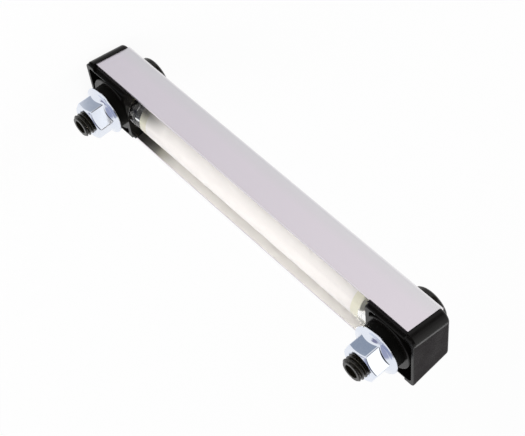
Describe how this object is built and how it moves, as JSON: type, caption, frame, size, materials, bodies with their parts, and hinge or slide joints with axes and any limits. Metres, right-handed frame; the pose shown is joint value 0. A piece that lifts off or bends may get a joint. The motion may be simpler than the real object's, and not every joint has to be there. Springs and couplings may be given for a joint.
{
  "type": "oil level indicator with thermometer",
  "caption": "Long level gauge for a tank wall: a clear sight tube with a thermometer in a folded cover, with end blocks fixed by hollow bolts and flange nuts.",
  "frame": {"origin": "midway between the bolts' axes, in the plane where the seals meet the tank wall", "axes": "+Z along the gauge towards its upper end, +Y into the tank along the bolts, display side towards -Y"},
  "size_m": [0.033, 0.0408, 0.1886],
  "materials": {
    "cover": "satin, lilac-grey",
    "clear_tube": "clear, polished",
    "white_plastic": "white, matt",
    "cream_plastic": "cream, satin",
    "thin_glass": "clear",
    "spirit": "red",
    "black_plastic": "black, semi-gloss",
    "rubber": "black",
    "black_steel": "black oxide",
    "plated_steel": "bright zinc plate"
  },
  "bodies": {
    "housing": {"shroud": "cover", "upper_end_block": "black_plastic", "lower_end_block": "black_plastic", "sight_tube": "clear_tube", "scale_backing": "white_plastic", "upper_backing_holder": "cream_plastic", "lower_backing_holder": "cream_plastic", "thermometer_glass": "thin_glass", "thermometer_spirit": "spirit", "upper_glass_clip": "white_plastic", "lower_glass_clip": "white_plastic", "upper_tube_ring": "rubber", "lower_tube_ring": "rubber", "upper_head_ring": "rubber", "lower_head_ring": "rubber", "upper_tank_seal": "rubber", "lower_tank_seal": "rubber"},
    "upper_bolt": {"upper_hollow_bolt": "black_steel"},
    "lower_bolt": {"lower_hollow_bolt": "black_steel"},
    "upper_nut": {"upper_flange_nut": "plated_steel"},
    "lower_nut": {"lower_flange_nut": "plated_steel"}
  },
  "joints": [
    {"name": "upper_bolt_turn", "type": "hinge", "parent": "housing", "child": "upper_bolt", "pos_m": [0, 0, 0.08], "axis": [0, -1, 0], "range_deg": [0, 3240]},
    {"name": "upper_nut_travel", "type": "slide", "parent": "housing", "child": "upper_nut", "axis": [0, 1, 0], "range_m": [0, 0.0135]},
    {"name": "lower_bolt_turn", "type": "hinge", "parent": "housing", "child": "lower_bolt", "pos_m": [0, 0, -0.08], "axis": [0, -1, 0], "range_deg": [0, 3240]},
    {"name": "lower_nut_travel", "type": "slide", "parent": "housing", "child": "lower_nut", "axis": [0, 1, 0], "range_m": [0, 0.0135]}
  ],
  "couplings": [
    {"joint": "upper_nut_travel", "follows": "upper_bolt_turn", "m_per_rad": 0.00023873},
    {"joint": "lower_nut_travel", "follows": "lower_bolt_turn", "m_per_rad": 0.00023873}
  ]
}
